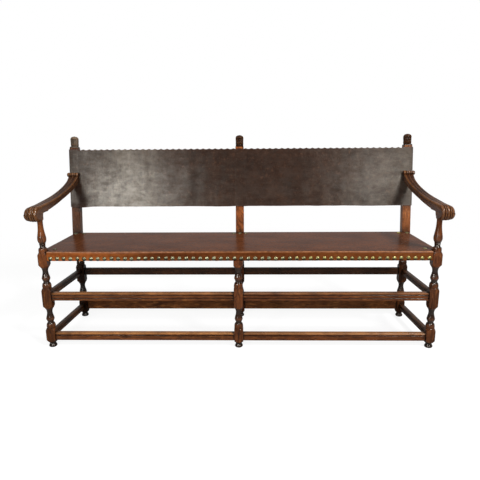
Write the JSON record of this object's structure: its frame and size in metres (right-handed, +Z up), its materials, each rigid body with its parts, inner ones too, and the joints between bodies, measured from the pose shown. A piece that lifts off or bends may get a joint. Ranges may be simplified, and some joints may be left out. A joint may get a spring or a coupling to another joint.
{
  "type": "open-arm hall bench",
  "caption": "Three-place oak bench with turned legs, reeded scroll arms, a nailed leather seat, a slung leather back and carved head finials on raked posts.",
  "frame": {"origin": "on the floor, at the middle of the sole of the middle front leg", "axes": "+X along the bench, to the right of someone who looks at its front; +Y from its front to its back; +Z up"},
  "size_m": [1.8734, 0.5766, 0.9863],
  "materials": {
    "oak": "dark red-brown stained oak, waxed, worn golden on the tops of the arms",
    "seat_hide": "glossy plum-brown hide, orange-brown and worn where it turns down",
    "back_hide": "very dark brown crackled hide with a dull sheen",
    "brass": "antique brass, greenish in the hollows"
  },
  "bodies": {
    "root": {"arm_left": "oak", "arm_right": "oak", "back_leather": "back_hide", "back_leather_nails": "brass", "back_lower_stretcher_left": "oak", "back_lower_stretcher_right": "oak", "back_post_left": "oak", "back_post_middle": "oak", "back_post_right": "oak", "back_upper_stretcher_left": "oak", "back_upper_stretcher_right": "oak", "finial_left": "oak", "finial_middle": "oak", "finial_right": "oak", "front_leg_left": "oak", "front_leg_middle": "oak", "front_leg_right": "oak", "front_lower_stretcher_left": "oak", "front_lower_stretcher_right": "oak", "front_upper_stretcher_left": "oak", "front_upper_stretcher_right": "oak", "seat_bearer": "oak", "seat_board_back": "oak", "seat_board_front": "oak", "seat_leather": "seat_hide", "seat_nails_back": "brass", "seat_nails_front": "brass", "seat_nails_sides": "brass", "seat_nails_top": "brass", "seat_rail_back_left": "oak", "seat_rail_back_right": "oak", "seat_rail_front": "oak", "seat_rail_side_left": "oak", "seat_rail_side_right": "oak", "side_lower_stretcher_left": "oak", "side_lower_stretcher_right": "oak", "side_upper_stretcher_left": "oak", "side_upper_stretcher_right": "oak"}
  },
  "joints": []
}
